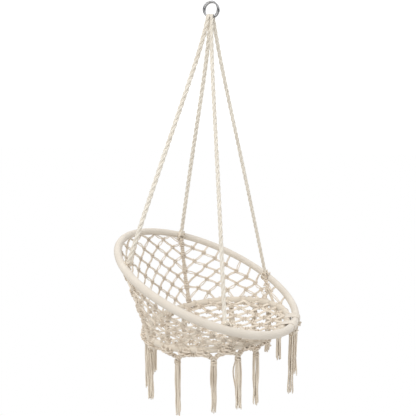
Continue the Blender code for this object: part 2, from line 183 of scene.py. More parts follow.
class Wire:
    """A shader socket that can be written in a Python expression: each operator adds its Math node."""

    def __init__(self, tree, socket):
        self.tree = tree
        self.socket = socket

    def node(self, kind, settings=None, out=0, **sockets):
        """Any node: its settings first, then its sockets' values or links. A socket is named with _ for
        a space, or i and its number; out is the output that the result stands for."""
        made = self.tree.nodes.new(kind)
        for key, value in (settings or {}).items():
            if key == "stops":
                ramp = made.color_ramp
                while len(ramp.elements) < len(value):
                    ramp.elements.new(0.5)
                for element, (place, colour) in zip(ramp.elements, value):
                    element.position = place
                    element.color = (*colour, 1.0)
            else:
                setattr(made, key, value)
        for key, value in sockets.items():
            key = int(key[1:]) if key[0] == "i" and key[1:].isdigit() else key.replace("_", " ")
            if isinstance(value, Wire):
                self.tree.links.new(value.socket, made.inputs[key])
            elif value is not None:
                made.inputs[key].default_value = value
        return Wire(self.tree, made.outputs[out])

    def output(self, which):
        """Another output of the same node."""
        return Wire(self.tree, self.socket.node.outputs[which])

    def maths(self, operation, *values):
        named = {f"i{k}": value for k, value in enumerate(values)}
        return self.node("ShaderNodeMath", {"operation": operation}, **named)

    def at_least(self, value):
        return self.maths("MAXIMUM", self, value)

    def at_most(self, value):
        return self.maths("MINIMUM", self, value)

    def __add__(self, other):
        return self.maths("ADD", self, other)

    def __radd__(self, other):
        return self.maths("ADD", other, self)

    def __sub__(self, other):
        return self.maths("SUBTRACT", self, other)

    def __rsub__(self, other):
        return self.maths("SUBTRACT", other, self)

    def __mul__(self, other):
        return self.maths("MULTIPLY", self, other)

    def __rmul__(self, other):
        return self.maths("MULTIPLY", other, self)

    def __pow__(self, other):
        return self.maths("POWER", self, other)

    def sine(self):
        return self.maths("SINE", self)

    def size(self):
        return self.maths("ABSOLUTE", self)

    def mix(self, low, high):
        """The colour low where this is 0 and high where it is 1."""
        return self.node("ShaderNodeMix", {"data_type": "RGBA"}, out=2, i0=self, i6=low, i7=high)


def rgba(colour):
    return (*colour, 1.0)


def new_material(name, diffuse):
    """A new material, as (material, its Principled shader, a wire to start from)."""
    material = bpy.data.materials.new(name)
    material.use_nodes = True
    material.diffuse_color = rgba(diffuse)
    tree = material.node_tree
    return material, tree.nodes["Principled BSDF"], Wire(tree, None)


def link(wire, target, socket):
    wire.tree.links.new(wire.socket, target.inputs[socket])


def noise(start, place, scale, detail=3.0):
    settings = {"noise_dimensions": "3D"}
    return start.node("ShaderNodeTexNoise", settings, Vector=place, Scale=scale, Detail=detail)


def cotton(name, light, shade, twist=240.0, plies=2.0, bump=0.5, ply_shade=0.35):
    """Cotton cord. Its UV map runs in metres along the cord and once round it, so the twist of the
    plies is a sine of a slanted sum of both. Tone differs from cord to cord and in soft patches, and
    painted shade darkens it between the plies and where a point attribute marks the cord deep in a knot or
    groove."""
    material, shader, start = new_material(name, light)
    place = start.node("ShaderNodeTexCoord", out=3)
    uv = start.node("ShaderNodeUVMap", {"uv_map": "along"})
    along = start.node("ShaderNodeSeparateXYZ", Vector=uv)
    around = along.output(1)
    tone = start.node("ShaderNodeAttribute", {"attribute_name": "tone"}, out=2)
    pocket = start.node("ShaderNodeAttribute", {"attribute_name": "pocket"}, out=2)
    ply = ((along * (twist * TAU) + around * (plies * TAU)).sine() * 0.5 + 0.5) ** 0.7
    fibre = noise(start, place, 900.0, 2.0)
    patch = noise(start, place, 9.0)
    # The ply term and the attribute term are painted shade, between the plies and inside knots and rope
    # grooves; patch, tone and fibre are the cord's own tone.
    depth = (1 - ply) * ply_shade + (patch - 0.5) * 0.9 + tone * 0.5 + pocket * 0.75 + (fibre - 0.5) * 0.35
    depth = depth.at_least(0.0).at_most(1.0)
    link(depth.mix(rgba(light), rgba(shade)), shader, "Base Color")
    link(0.84 + 0.12 * fibre, shader, "Roughness")
    height = ply * 0.8 + fibre * 0.35
    link(start.node("ShaderNodeBump", Strength=bump, Distance=0.0006, Height=height), shader, "Normal")
    shader.inputs["Sheen Weight"].default_value = 0.25
    shader.inputs["Sheen Roughness"].default_value = 0.6
    shader.inputs["Specular IOR Level"].default_value = 0.25
    return material


def wound_cotton(name, light, shade):
    """A tube cover wound with fine cord: the turns lie side by side, a pitch apart along the tube, and
    painted shade deepens the tone by the root of a sine towards the line where two of them meet."""
    material, shader, start = new_material(name, light)
    place = start.node("ShaderNodeTexCoord", out=3)
    uv = start.node("ShaderNodeUVMap", {"uv_map": "along"})
    along = start.node("ShaderNodeSeparateXYZ", Vector=uv)
    around = along.output(1)
    turn = (along * (math.pi / WRAP_PITCH) + around * math.pi).sine().size() ** 0.5
    fibre = noise(start, place, 700.0, 2.0)
    patch = noise(start, place, 14.0)
    # The turn term is painted shade in the groove between two turns; patch and fibre are the cord's own tone.
    depth = (1 - turn) * 0.30 + (patch - 0.5) * 0.55 + (fibre - 0.5) * 0.25 + 0.12
    depth = depth.at_least(0.0)
    link(depth.mix(rgba(light), rgba(shade)), shader, "Base Color")
    link(0.78 + 0.14 * fibre, shader, "Roughness")
    height = turn * 0.6 + fibre * 0.3
    link(start.node("ShaderNodeBump", Strength=0.35, Distance=0.0004, Height=height), shader, "Normal")
    shader.inputs["Sheen Weight"].default_value = 0.2
    shader.inputs["Specular IOR Level"].default_value = 0.3
    return material


def bright_steel(name, colour, rough):
    """Bright steel: soft cloudy marks in its tone and its gloss, and a fine grain in its surface."""
    material, shader, start = new_material(name, colour)
    place = start.node("ShaderNodeTexCoord", out=3)
    marks = noise(start, place, 160.0)
    grain = noise(start, place, 1500.0, 2.0)
    dark = tuple(0.72 * c for c in colour)
    link(marks.mix(rgba(colour), rgba(dark)), shader, "Base Color")
    link(rough + 0.16 * marks, shader, "Roughness")
    link(start.node("ShaderNodeBump", Strength=0.05, Distance=0.0002, Height=grain), shader, "Normal")
    shader.inputs["Metallic"].default_value = 1.0
    return material


def studio_room():
    """A room whose walls light the chair: pale below, a narrow dark band at eye level that the steel
    mirrors, and white above. What is seen of it directly is white."""
    world = bpy.data.worlds.new("studio")
    bpy.context.scene.world = world
    world.use_nodes = True
    world.node_tree.nodes.clear()
    start = Wire(world.node_tree, None)
    way = start.node("ShaderNodeTexCoord").output("Generated")
    height = start.node("ShaderNodeSeparateXYZ", out=2, Vector=way) * 0.5 + 0.5
    bands = start.node("ShaderNodeValToRGB", {"stops": ROOM_BANDS}, Fac=height)
    seen = start.node("ShaderNodeLightPath")
    colour = seen.mix(bands, rgba((1.0, 1.0, 1.0)))
    room = start.node("ShaderNodeBackground", Color=colour, Strength=ROOM_LIGHT)
    link(room, world.node_tree.nodes.new("ShaderNodeOutputWorld"), "Surface")


def pale_floor():
    """A large flat floor that throws light back up, and is white where it is seen directly."""
    corners = [(x * FLOOR_HALF, y * FLOOR_HALF, FLOOR_LEVEL) for x, y in ((-1, -1), (1, -1), (1, 1), (-1, 1))]
    mesh = bpy.data.meshes.new("floor")
    mesh.from_pydata(corners, [], [(0, 1, 2, 3)])
    floor = bpy.data.objects.new("floor", mesh)
    bpy.context.scene.collection.objects.link(floor)
    material, shader, start = new_material("pale_floor", (0.9, 0.9, 0.9))
    shader.inputs["Base Color"].default_value = rgba((0.75, 0.74, 0.72))
    shader.inputs["Roughness"].default_value = 0.9
    plain = Wire(start.tree, shader.outputs[0])
    glow = start.node("ShaderNodeEmission", Color=rgba((1.0, 1.0, 1.0)), Strength=1.0)
    seen = start.node("ShaderNodeLightPath")
    shown = start.node("ShaderNodeMixShader", i0=seen, i1=plain, i2=glow)
    link(shown, material.node_tree.nodes["Material Output"], "Surface")
    mesh.materials.append(material)


# ---------------------------------------------------------------- vectors and paths

def unit(v):
    """The same directions, each one long."""
    return v / np.maximum(np.linalg.norm(v, axis=-1, keepdims=True), 1e-12)


def blend_of(a, b, share):
    """The straight way from a to b, at a share of it."""
    return a + (b - a) * share


def smooth_path(keys, per_span):
    """A Catmull-Rom curve through key points: each span is the cubic whose end slopes are half the
    chord between the neighbouring keys. keys is (..., k, 3) and so is the result."""
    keys = np.asarray(keys, float)
    first = 2.0 * keys[..., :1, :] - keys[..., 1:2, :]
    last = 2.0 * keys[..., -1:, :] - keys[..., -2:-1, :]
    p = np.concatenate([first, keys, last], axis=-2)
    a, b, c, d = (p[..., k:p.shape[-2] - 3 + k, :][..., None, :] for k in range(4))
    t = (np.arange(per_span) / per_span)[:, None]
    bend, twist = 2 * a - 5 * b + 4 * c - d, 3 * b - a - 3 * c + d
    curve = 0.5 * (2 * b + (c - a) * t + bend * t**2 + twist * t**3)
    curve = curve.reshape(*keys.shape[:-2], -1, 3)
    return np.concatenate([curve, keys[..., -1:, :]], axis=-2)


def lengths(path):
    """Distance along a path at each of its points."""
    steps = np.linalg.norm(np.diff(path, axis=-2), axis=-1)
    return np.concatenate([np.zeros((*steps.shape[:-1], 1)), np.cumsum(steps, axis=-1)], axis=-1)


def even_path(points, step):
    """The same line with points an even distance apart, about one step."""
    run = lengths(points)
    count = max(2, int(round(run[-1] / step)) + 1)
    where = np.linspace(0.0, run[-1], count)
    return np.stack([np.interp(where, run, points[:, k]) for k in range(3)], axis=-1)


def carried_frame(path, hint):
    """Tangents, and two unit vectors square to them that are carried along each path without twisting."""
    tangent = unit(np.gradient(path, axis=-2))
    side = np.empty_like(path)
    current = np.broadcast_to(np.asarray(hint, float), path[..., 0, :].shape)
    for k in range(path.shape[-2]):
        t = tangent[..., k, :]
        current = unit(current - np.sum(current * t, axis=-1, keepdims=True) * t)
        side[..., k, :] = current
    return tangent, side, np.cross(tangent, side)


# ---------------------------------------------------------------- pieces

class Piece:
    """One piece of the chair: surfaces given as whole grids of points, gathered into one mesh."""

    def __init__(self, name, material):
        self.name = name
        self.material = material
        self.points = []
        self.faces = []
        self.uvs = []
        self.tones = []
        self.painted_shades = []
        self.count = 0

    def grid(self, points, along, ring=False, tone=None, pocket=0.0):
        """points (n, m, s, 3): n tubes of m stations with s points round each; along (n, m) is the
        distance along. ring closes each tube on itself, and otherwise its two ends are capped. tone
        makes a tube darker or lighter, and the last argument is painted shade: how much darker a point is
        painted where it lies deep in a knot or a groove."""
        n, m, s, _ = points.shape
        index = np.arange(n * m * s).reshape(n, m, s) + self.count
        below = np.roll(index, -1, axis=1) if ring else index[:, 1:]
        above = index if ring else index[:, :-1]
        quads = np.stack([above, np.roll(above, -1, axis=2), np.roll(below, -1, axis=2), below], axis=-1)
        span = above.shape[1]
        u0 = np.broadcast_to(along[:, :span, None], above.shape)
        following = np.concatenate([along[:, 1:], 2 * along[:, -1:] - along[:, -2:-1]], axis=1)
        u1 = np.broadcast_to(following[:, :span, None], above.shape)
        v0 = np.broadcast_to(np.arange(s) / s, above.shape)
        v1 = v0 + 1.0 / s
        uv = np.stack([np.stack(pair, axis=-1) for pair in ((u0, v0), (u0, v1), (u1, v1), (u1, v0))], axis=-2)
        self.faces.append(quads.reshape(-1, 4))
        self.uvs.append(uv.reshape(-1, 4, 2))
        if not ring:
            for end, order in ((0, slice(None, None, -1)), (m - 1, slice(None))):
                cap = index[:, end, order]
                self.faces.append(cap)
                self.uvs.append(np.zeros((*cap.shape, 2)))
        self.points.append(points.reshape(-1, 3))
        if tone is None:
            tone = RNG.uniform(-0.25, 0.25, n)
        self.tones.append(np.repeat(np.broadcast_to(tone, n), m * s))
        self.painted_shades.append(np.broadcast_to(np.asarray(pocket, float), (n, m, s)).ravel())
        self.count += n * m * s

    def tubes(self, paths, radius, sides=6, hint=(0.31, 0.22, 0.92), ring=False, tone=None, pocket=0.0):
        """Round cords: a circle carried along each path, at radius times the cosine and the sine
        of the angle on the two carried directions."""
        paths = np.asarray(paths, float)
        if paths.ndim == 2:
            paths = paths[None]
        _, side, up = carried_frame(paths, hint)
        angle = TAU * np.arange(sides) / sides
        radius = np.broadcast_to(np.asarray(radius, float), paths.shape[:2])[..., None, None]
        rim = np.cos(angle)[:, None] * side[..., None, :] + np.sin(angle)[:, None] * up[..., None, :]
        pocket = np.asarray(pocket, float)
        if pocket.ndim:
            pocket = np.broadcast_to(pocket, paths.shape[:2])[..., None]
        self.grid(paths[..., None, :] + radius * rim, lengths(paths), ring, tone, pocket)

    def build(self):
        """The mesh of all the tubes, as an object at the origin."""
        points = np.concatenate(self.points)
        mesh = bpy.data.meshes.new(self.name)
        faces = [row for block in self.faces for row in block.tolist()]
        mesh.from_pydata(points, [], faces)
        layer = mesh.uv_layers.new(name="along")
        flat = np.concatenate([block.reshape(-1, 2) for block in self.uvs])
        layer.data.foreach_set("uv", flat.astype(np.float32).ravel())
        # tone is the cord's own tone; the other attribute is painted shade for knots and grooves
        for name, blocks in (("tone", self.tones), ("pocket", self.painted_shades)):
            attribute = mesh.attributes.new(name, "FLOAT", "POINT")
            attribute.data.foreach_set("value", np.concatenate(blocks).astype(np.float32))
        mesh.materials.append(self.material)
        mesh.shade_smooth()
        obj = bpy.data.objects.new(self.name, mesh)
        bpy.context.scene.collection.objects.link(obj)
        return obj


def place(obj, body, slot, *nodes):
    """obj rides on a body and stands for these CAD nodes, which are hidden. slot is not used."""
    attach(obj, body)
    if nodes:
        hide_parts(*nodes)


# ---------------------------------------------------------------- the two rings' geometry

def tilted(points, centre, tilt):
    """Points of a flat ring turned about X by its tilt, at its centre."""
    a = math.radians(tilt)
    x, y, z = points[..., 0], points[..., 1], points[..., 2]
    turned = np.stack([x, y * math.cos(a) - z * math.sin(a), y * math.sin(a) + z * math.cos(a)], axis=-1)
    return turned + centre


def on_circle(radius, degrees):
    """Points of a level circle: the radius times the sine and the cosine of the angle."""
    a = np.radians(degrees)
    return np.stack([radius * np.sin(a), radius * np.cos(a), 0.0 * a], axis=-1)


def upper_point(degrees):
    return tilted(on_circle(UPPER_RADIUS, degrees), UPPER_CENTRE, UPPER_TILT)


def seat_point(degrees):
    return tilted(on_circle(SEAT_RADIUS, degrees), SEAT_CENTRE, SEAT_TILT)


def inward(degrees):
    """From the upper ring's tube towards the middle of the ring."""
    return unit(UPPER_CENTRE - upper_point(degrees))


def upper_tangent(degrees):
    return unit(upper_point(degrees + 0.5) - upper_point(degrees - 0.5))


def seat_tangent(degrees):
    return unit(seat_point(degrees + 0.5) - seat_point(degrees - 0.5))


def bucket(degrees, share):
    """The net's surface: the straight line from ring to ring at each angle, at a share of its way down."""
    degrees, share = np.broadcast_arrays(np.asarray(degrees, float), np.asarray(share, float))
    return blend_of(upper_point(degrees), seat_point(degrees), share[..., None])


def bucket_frame(degrees, share):
    """Place, and the directions across, up and outwards, at a point of the bucket net."""
    centre = bucket(degrees, share)
    across = unit(bucket(degrees + 0.5, share) - bucket(degrees - 0.5, share))
    up = unit(upper_point(degrees) - seat_point(degrees))
    up = unit(up - np.sum(up * across, axis=-1, keepdims=True) * across)
    return centre, across, up, np.cross(across, up)


def seat_dish(x, y):
    """The seat net's dish: it hangs below the seat ring's plane by the sag, less towards the rim."""
    x, y = np.asarray(x, float), np.asarray(y, float)
    sag = -SEAT_SAG * (1.0 - (x * x + y * y) / SEAT_NET_RIM**2)
    return tilted(np.stack([x, y, sag], axis=-1), SEAT_CENTRE, SEAT_TILT)


def seat_frame_at(x, y):
    """Place, and the directions across, up and outwards, at a point of the seat net."""
    centre = seat_dish(x, y)
    across = unit(seat_dish(x + 0.001, y) - seat_dish(x - 0.001, y))
    up = unit(seat_dish(x, y + 0.001) - seat_dish(x, y - 0.001))
    return centre, across, up, np.cross(across, up)


# ---------------------------------------------------------------- knots and strands

# A flat square knot: across, up and outwards along one of its two tying cords. The other is its
# mirror image, turned front to back.
TYING_CORD = np.array([
    (-4.8, 8.4, -0.8), (-7.0, 5.4, 0.4), (-2.6, 4.2, 4.2), (3.0, 3.2, 4.6), (7.0, 1.5, 1.4),
    (7.0, -1.5, -1.4), (3.0, -3.2, -4.6), (-2.6, -4.2, -4.2), (-7.0, -5.4, -0.4), (-4.8, -8.4, 0.8),
]) * MM


def square_knot(piece, frame_at, size=1.0, cord=CORD):
    """Two tying cords that cross in front of and behind the cords they hold."""
    centre, across, up, out = frame_at
    turn = RNG.normal(0.0, 0.10)
    across, up = across * math.cos(turn) + up * math.sin(turn), up * math.cos(turn) - across * math.sin(turn)
    paths = []
    for side in (1.0, -1.0):
        local = TYING_CORD * size * (side, 1.0, side)
        local = local + RNG.normal(0.0, 0.35 * MM, local.shape)
        paths.append(centre + local @ np.stack([across, up, out]))
    paths = smooth_path(np.array(paths), 2)
    # painted shade, deepest in the middle of each tying cord where it lies inside the knot
    depth = np.sin(np.linspace(0.0, math.pi, paths.shape[1])) ** 2
    piece.tubes(paths, cord * 1.04, 6, out, pocket=0.10 + 0.30 * depth[None])


def strand(piece, stops, over, cord=CORD, knots=False, size=1.0, upright=0.3):
    """A pair of cords that runs through a row of knots. Each stop is a knot's frame and its kind; in
    a knot the pair turns a little upright and is pinched, and between two knots it bows apart."""
    middles = np.array([stop[0][0] for stop in stops])
    ways = unit(np.gradient(middles, axis=0))
    keys, outs, spread = [], [], []
    for k, ((centre, across, up, out), kind) in enumerate(stops):
        if k:
            before = stops[k - 1][0][3]
            bow = RNG.normal(0.0, 1.6 * MM, 3)
            keys.append((middles[k - 1] + centre) / 2.0 + bow)
            outs.append(unit(before + out))
            spread.append(1.0 + 0.9 * max(0.0, RNG.normal(0.15, 0.6)))
        if kind == "knot":
            lean = up if np.dot(ways[k], up) > 0.0 else -up
            way = unit(ways[k] * (1.0 - upright) + lean * upright) * 7.0 * MM * size
            keys += [centre - way, centre + out * over * MM, centre + way]
            outs += [out] * 3
            spread += [0.85, 0.7, 0.85]
            if knots:
                square_knot(piece, (centre, across, up, out), 1.2 * size, cord)
        else:
            keys.append(centre)
            outs.append(out)
            spread.append(0.9)
    per = 3                             # points from key to key
    path = smooth_path(np.array(keys), per)
    outs = unit(smooth_path(np.array(outs), per))
    spread = np.interp(np.arange(len(path)) / per, np.arange(len(spread)), spread)
    tangent = unit(np.gradient(path, axis=0))
    beside = unit(np.cross(outs, tangent)) * (cord * 1.06 * spread)[:, None]
    wave = RNG.normal(0.0, 0.25 * MM, path.shape)
    # painted shade on the pair where it is pinched in a knot
    pinched = (0.25 * (spread < 0.9))[None]
    piece.tubes(np.stack([path + beside + wave, path - beside]), cord, 6, outs[0], pocket=pinched)


def sinnet(piece, path, out, width, pitch, cord=CORD, core=True):
    """A flat chain of square knots along a path. Its two tying cords swing from side to side as a
    cosine, one always in front and one behind, and hurry down at the sides: the drop is the turn
    plus four tenths of the sine of twice the turn. The chain swells and thins a little as it goes."""
    out = np.broadcast_to(np.asarray(out, float), path.shape)
    run = lengths(path)
    halves = max(2, int(round(run[-1] / pitch)))
    turn = np.linspace(0.0, math.pi * halves, halves * 7 + 1)
    down = (turn + 0.4 * np.sin(2.0 * turn)) / (math.pi * halves) * run[-1]
    middle = np.stack([np.interp(down, run, path[:, k]) for k in range(3)], axis=-1)
    outs = unit(np.stack([np.interp(down, run, out[:, k]) for k in range(3)], axis=-1))
    tangent = unit(np.gradient(middle, axis=0))
    across = unit(np.cross(tangent, outs))
    start = RNG.uniform(0.0, TAU, 2)
    swell = 1.0 + 0.16 * np.sin(down / (11.0 * MM) + start[0])[:, None]
    middle = middle + across * (1.2 * MM * np.sin(down / (17.0 * MM) + start[1]))[:, None]
    swing = np.cos(turn)[:, None] * across * (width / 2.0 - cord) * swell
    lift = (0.25 + 0.75 * np.sin(turn) ** 2)[:, None] * outs * cord * 1.9
    wave = RNG.normal(0.0, 0.3 * MM, middle.shape)
    # painted shade where the tying cords swing to the sides and tuck in
    piece.tubes(np.stack([middle + swing + lift + wave, middle - swing * 1.12 - lift]), cord, 6, outs[0],
                pocket=(0.30 * np.cos(turn) ** 2)[None])
    if core:
        line = even_path(path, 12.0 * MM)
        beside = unit(np.cross(unit(np.gradient(line, axis=0)), outs[0])) * cord * 0.95
        # the core cords inside the chain get painted shade
        piece.tubes(np.stack([line + beside, line - beside]), cord, 6, outs[0], pocket=0.4)


def turns_round(piece, centre, along, start, radius, turns, pitch, cord, wobble=0.0):
    """Cord wound round a tube: a circle square to the tube that moves along it by a pitch each turn."""
    along = unit(along)
    start = unit(start - np.dot(start, along) * along)
    other = np.cross(along, start)
    angle = np.linspace(0.0, TAU * turns, 18 * turns + 1)
    travel = (angle / TAU - turns / 2.0) * pitch + wobble * np.sin(angle + 0.7)
    bump = radius + cord * 0.15 * np.sin(angle * 2.3)
    path = (centre + np.cos(angle)[:, None] * start * bump[:, None]
            + np.sin(angle)[:, None] * other * bump[:, None] + travel[:, None] * along)
    piece.tubes(path, cord, 6, along)


# ---------------------------------------------------------------- ropes

def rope_line(end):
    """A rope's middle line from one tie over the hanging rings to the other: two legs that stay close
    to their neighbours first and then run taut, joined by half an ellipse in the rope's own plane."""
    centre = np.array([0.0, ROPE_PLANE[end], RING_WIRE - RING_OUTER / 2.0])
    t = np.linspace(0.0, 1.0, 60)[:, None]
    legs = []
    for side in (-1.0, 1.0):
        start = centre + (side * FOLD_HALF, 0.0, -FOLD_END)
        foot = upper_point(side * ROPE_TIE[end])
        pull = unit(start - foot)
        foot = foot + pull * UPPER_WRAP * 0.8 + inward(side * ROPE_TIE[end]) * FOOT_IN[end]
        close = LEG_GATHER * 4.0 * t * np.exp(1.0 - 4.0 * t) * (1.0 - t)
        leg = blend_of(start, foot, t)
        leg = leg + close * np.array([0.0, start[1] - foot[1], 0.0])
        legs.append(leg)
    turn = np.radians(np.linspace(-90.0, 90.0, 31))[1:-1]
    high = -FOLD_SPRING + (FOLD_SPRING - FOLD_TOP) * np.cos(turn)
    fold = centre + np.stack([FOLD_HALF * np.sin(turn), 0.0 * turn, high], axis=-1)
    line = np.concatenate([legs[0][::-1], fold, legs[1]])
    return even_path(line, 3.6 * MM)


def laid_strands(path, width, lay, flat):
    """Three strands laid into a rope: each goes round the middle line once a lay, and has the rippled
    outline of six small cords that turn the other way. flat squeezes the rope over the wire. The
    grooves between the strands, where each outline faces inwards, get painted shade."""
    run = lengths(path)
    tangent = unit(np.gradient(path, axis=0))
    beside = unit(np.array([0.0, 1.0, 0.0]) - tangent * tangent[:, 1:2])
    outward = np.cross(tangent, beside)
    phase = TAU * run / lay
    reach = width * 0.235 * (1.0 - 0.28 * flat)[:, None]
    thick = width * 0.272 * (1.0 - 0.28 * flat)[:, None]
    sides = 18
    angle = TAU * np.arange(sides) / sides
    strands = []
    for k in range(3):
        a = (phase + TAU * k / 3.0)[:, None]
        ripple = 1.0 + 0.07 * np.cos(6.0 * (angle[None, :] + 2.2 * phase[:, None]))
        x = reach * np.cos(a) + thick * ripple * np.cos(angle[None, :] + a)
        z = reach * np.sin(a) + thick * ripple * np.sin(angle[None, :] + a)
        z = z * (1.0 - 0.70 * flat[:, None])
        outline = x[..., None] * beside[:, None, :] + z[..., None] * outward[:, None, :]
        strands.append(path[:, None, :] + outline)
    # painted shade on the inward-facing side of each strand, in the grooves between strands
    groove = np.clip((0.25 - np.cos(angle)) / 0.8, 0.0, 1.0) * 0.2
    return np.stack(strands), groove[None, None, :]


def ropes(material):
    """Each rope is made in one go and shared out: its fold over the rings, and its two legs."""
    for end in ("back", "front"):
        path = rope_line(end)
        width = ROPE_WIDE[end]
        middle = len(path) // 2
        run = lengths(path)
        flat = np.clip(1.3 - np.abs(run - run[middle]) / (24.0 * MM), 0.0, 1.0)
        path[:, 1] -= math.copysign(1.3 * MM, ROPE_PLANE[end]) * flat
        path[:, 2] -= 1.6 * MM * flat
        strands, pocket = laid_strands(path, width, ROPE_LAY[end], flat)
        reach = int(round(FOLD_REACH / (run[1] - run[0])))
        first_cut, second_cut = middle - reach, middle + reach
        cuts = (("right", 0, first_cut), ("fold", first_cut, second_cut), ("left", second_cut, len(path) - 1))
        for word, first, last in cuts:
            part = slice(first, last + 1)
            name = f"rope_{end}_{word}" if word != "fold" else f"rope_fold_{end}"
            piece = Piece(f"{name}_strands", material)
            tone = np.array([-0.1, 0.06, 0.0])
            piece.grid(strands[:, part], np.tile(run[part], (3, 1)), tone=tone, pocket=pocket)
            obj = piece.build()
            if word == "fold":
                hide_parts(f"rope_bend_{end}")
                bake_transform(obj)
            else:
                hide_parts(f"rope_{end}_{word}")
                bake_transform(obj)
                line = path[part][:: 8 if word == "left" else -8]
                far = path[-1] if word == "left" else path[0]
                line = np.concatenate([line, far[None]])
                float(lengths(line)[-1])


# ---------------------------------------------------------------- rings

def steel_rings(material):
    """Two polished rings: a circle of wire carried round a circle."""
    middle = (RING_OUTER - RING_WIRE) / 2.0
    drop = RING_OUTER / 2.0 - RING_WIRE
    shift = (RING_WIRE + RING_GAP) / 2.0
    for (word, side), (y, z) in zip(SIDES, ((0.0, 0.0), RING_SHIFT)):
        a = np.linspace(0.0, TAU, 96, endpoint=False)
        deep, high = y + middle * np.cos(a), z - drop + middle * np.sin(a)
        path = np.stack([0.0 * a + side * shift, deep, high], axis=-1)
        out = np.stack([0.0 * a, np.cos(a), np.sin(a)], axis=-1)
        b = np.linspace(0.0, TAU, 24, endpoint=False)[None, :, None]
        rim = np.cos(b) * out[:, None, :] + np.sin(b) * np.array([1.0, 0.0, 0.0])
        piece = Piece(f"steel_ring_{word}", material)
        piece.grid((path[:, None, :] + RING_WIRE / 2.0 * rim)[None], (a * middle)[None], ring=True)
        place(piece.build(), "hanging_rings", "polished_steel", f"hanging_ring_{word}")


def wound_ring(name, material, radius, centre, tilt, wrap, body):
    """A ring's cover: a circle carried round the ring, rippled by the square root of the sine of
    each turn of cord and a little uneven all round."""
    turns = int(round(TAU * radius / WRAP_PITCH))
    steps = turns * 4
    a = TAU * np.arange(steps) / steps
    sides = 24
    b = TAU * np.arange(sides) / sides
    wind = np.abs(np.sin(math.pi * (turns * a[:, None] / TAU + b[None, :] / TAU)))
    wander = 0.10 * np.sin(5.0 * a + 1.0) + 0.08 * np.sin(13.0 * a + 2.0) + 0.06 * np.sin(31.0 * a)
    r = wrap + (0.34 * np.sqrt(wind) - 0.34 + 0.6 * wander[:, None]) * MM
    out = np.stack([np.sin(a), np.cos(a), 0.0 * a], axis=-1)
    rim = np.cos(b)[None, :, None] * out[:, None, :] + np.sin(b)[None, :, None] * np.array([0.0, 0.0, -1.0])
    points = tilted(out[:, None, :] * radius + r[..., None] * rim, centre, tilt)
    piece = Piece(f"{name}_cover", material)
    piece.grid(points[None], (a * radius)[None], ring=True, tone=np.zeros(1))
    place(piece.build(), body, "cotton_wrap", f"{name}_wrap")


# ---------------------------------------------------------------- the bucket net

def side_knot(row, column):
    """Angle and depth of a knot of the side net: rows go down, columns go forwards from the back tie."""
    angle = ROPE_TIE["back"] + SIDE_STEP * column
    depth = (min(50.0 + 7.0 * (column - 1), 78.0) + (66.5 - column) * row) * MM
    return angle, depth / np.linalg.norm(upper_point(angle) - seat_point(angle))


def on_ring(angle, top):
    """Where a pair of cords goes under a ring's cover."""
    share = 0.0 if top else 1.0
    centre, across, up, out = bucket_frame(angle, share)
    if top:
        return centre - up * (UPPER_WRAP - 3.0 * MM) + out * 2.0 * MM, across, up, out
    return centre + up * (SEAT_WRAP - 3.0 * MM) + out * 2.0 * MM, across, up, out


def column_angle(side, share, end="back"):
    """Angle of a column at a share of its way down; it leans a little as it goes."""
    return side * (ROPE_TIE[end] + COLUMN_LEAN[end] * share)


def net_stop(angle, share, kind):
    """A stop of a strand: a knot, the end at a column, or the end under a ring's cover."""
    if kind == "ring":
        return on_ring(angle, True), "end"
    if kind == "seat":
        return on_ring(angle, False), "end"
    frame_at = bucket_frame(angle, share)
    return frame_at, "knot" if kind == "knot" else "end"


def net_strand(name, stops, lean, material, nodes, knots):
    """One strand of the bucket net as its own piece, in place of the given CAD nodes, which are hidden."""
    piece = Piece(name, material)
    strand(piece, [net_stop(*stop) for stop in stops], 1.3 * lean, knots=knots)
    obj = piece.build()
    if nodes:
        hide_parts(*nodes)
    (a0, s0, k0), (a1, s1, k1) = stops[0], stops[-1]
    s0 = 0.0 if k0 == "ring" else s0
    s1 = 1.0 if k1 == "seat" else s1
    first, last = bucket(a0, s0), bucket(a1, s1)
    per_share = (last - first) / (s1 - s0)
    first - per_share * s0
    first + per_share * (1.0 - s0)
    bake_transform(obj)
    return obj


def back_strands(lean):
    """The back net's strands that lean one way: each starts on the upper ring or at a column's joint
    and moves one half column sideways for each row, until a column or the seat ring stops it."""
    starts = [(k, 0) for k in range(-6, 7, 2)] + [(-7 * lean, row) for row in (1, 3, 5, 7)]
    for half, row in starts:
        at_column = abs(half) == 7
        stops = [(half * BACK_STEP, 0.0, "ring")]
        if at_column:
            share = COLUMN_JOINTS[row // 2]
            stops = [(column_angle(-lean, share), share, "column")]
        while True:
            half, row = half + lean, row + 1
            if abs(half) > 6 and half * lean > 0:
                share = COLUMN_JOINTS[min(len(COLUMN_JOINTS) - 1, row // 2)]
                stops.append((column_angle(lean, share), share, "column"))
                break
            if row >= BACK_ROWS:
                stops.append((half * BACK_STEP - lean * 2.0, 1.0, "seat"))
                break
            stops.append((half * BACK_STEP, BACK_ROW * row * (1.0 - 0.0007 * half * half), "knot"))
        if len(stops) > 1 and stops[-1][1] > stops[0][1]:
            yield stops


